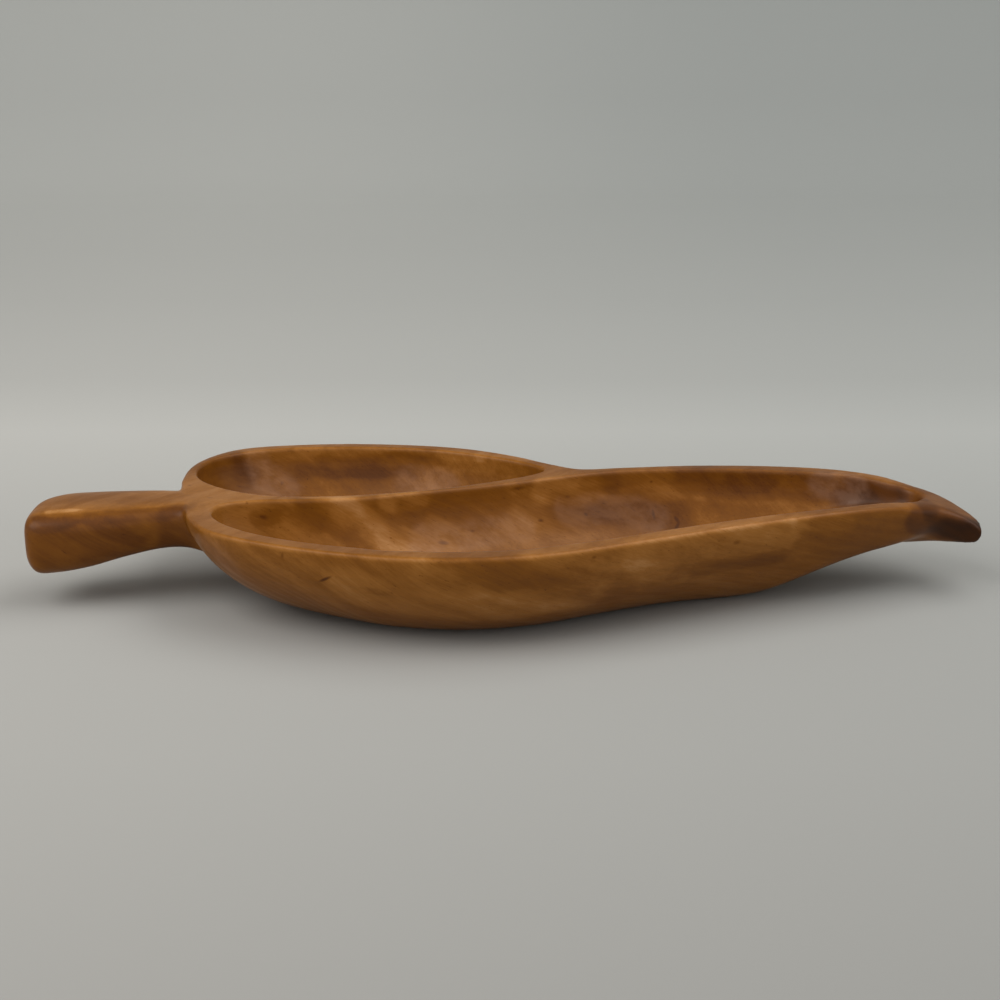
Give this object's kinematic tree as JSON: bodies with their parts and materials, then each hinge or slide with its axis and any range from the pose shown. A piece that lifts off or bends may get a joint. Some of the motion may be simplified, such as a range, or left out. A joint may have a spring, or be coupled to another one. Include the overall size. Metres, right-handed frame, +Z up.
{
  "type": "leaf-shaped serving tray",
  "caption": "Leaf-shaped serving tray carved from solid wood, with an oval hollow beside a long curved hollow, a blunt stem handle and a curled leaf tip.",
  "frame": {"origin": "under the middle of the tray's bounding box, on the surface that the tray stands on", "axes": "+X from the stem handle towards the leaf tip, +Y towards the oval hollow, +Z up"},
  "size_m": [0.4442, 0.1974, 0.0466],
  "materials": {
    "wood": "oiled and rubbed to a satin gloss"
  },
  "bodies": {
    "root": {"carved_tray": "wood"}
  },
  "joints": []
}
